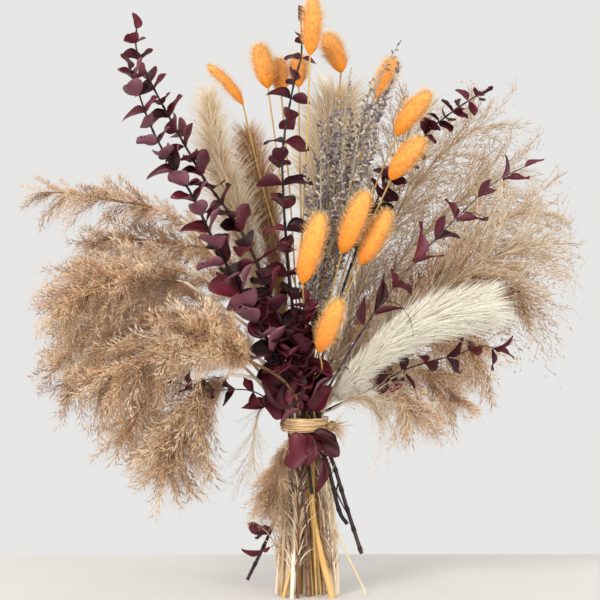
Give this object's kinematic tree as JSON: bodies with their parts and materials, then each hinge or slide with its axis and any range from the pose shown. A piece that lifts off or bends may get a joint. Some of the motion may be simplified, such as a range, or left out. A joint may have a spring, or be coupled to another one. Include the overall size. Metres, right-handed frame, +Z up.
{
  "type": "dried flower bouquet",
  "caption": "Hand-tied autumn bouquet of dried reeds, grasses, bunny tails, lavender and burgundy eucalyptus, bound with raffia and standing on its cut stems.",
  "frame": {"origin": "centre of the cut end of the centre straw, on the surface the bouquet stands on", "axes": "+Z up along the bundle of stems, -Y towards the front of the bouquet"},
  "size_m": [0.4604, 0.1842, 0.4982],
  "materials": {
    "reed_plume": "soft, fibrous",
    "hair_grass": "soft, fibrous",
    "cream_plume": "soft, fibrous",
    "white_pampas": "soft, fibrous",
    "bunny_tail": "soft, fibrous",
    "lavender": "dry, matt",
    "straw": "dry, satin",
    "eucalyptus": "dry, satin",
    "raffia": "dry, fibrous"
  },
  "bodies": {
    "root": {"beige_plume": "cream_plume", "bunny_tail_1": "bunny_tail", "bunny_tail_10": "bunny_tail", "bunny_tail_11": "bunny_tail", "bunny_tail_12": "bunny_tail", "bunny_tail_13": "bunny_tail", "bunny_tail_2": "bunny_tail", "bunny_tail_3": "bunny_tail", "bunny_tail_4": "bunny_tail", "bunny_tail_5": "bunny_tail", "bunny_tail_6": "bunny_tail", "bunny_tail_7": "bunny_tail", "bunny_tail_8": "bunny_tail", "bunny_tail_9": "bunny_tail", "cream_plume": "cream_plume", "eucalyptus_back_right": "eucalyptus", "eucalyptus_centre": "eucalyptus", "eucalyptus_left_front": "eucalyptus", "eucalyptus_left_tall": "eucalyptus", "eucalyptus_short": "eucalyptus", "grass_wisp_low": "hair_grass", "hair_grass_1": "hair_grass", "hair_grass_2": "hair_grass", "hair_grass_3": "hair_grass", "hair_grass_4": "hair_grass", "hair_grass_5": "hair_grass", "hair_grass_6": "hair_grass", "lavender_1": "lavender", "lavender_2": "lavender", "lavender_3": "lavender", "lavender_4": "lavender", "lavender_5": "lavender", "lavender_6": "lavender", "leafy_branch_low_left": "eucalyptus", "leafy_branch_low_right": "eucalyptus", "leafy_branch_right": "eucalyptus", "orange_reed": "straw", "raffia_binding": "raffia", "reed_back_left": "reed_plume", "reed_left_1": "reed_plume", "reed_left_10": "reed_plume", "reed_left_2": "reed_plume", "reed_left_3": "reed_plume", "reed_left_4": "reed_plume", "reed_left_5": "reed_plume", "reed_left_6": "reed_plume", "reed_left_7": "reed_plume", "reed_left_8": "reed_plume", "reed_left_9": "reed_plume", "reed_right_1": "reed_plume", "reed_right_2": "reed_plume", "reed_right_3": "reed_plume", "reed_right_4": "reed_plume", "reed_right_5": "hair_grass", "reed_tuft_low": "reed_plume", "straw_centre": "straw", "straw_right": "straw", "white_pampas": "white_pampas", "yellow_reed": "straw"}
  },
  "joints": []
}
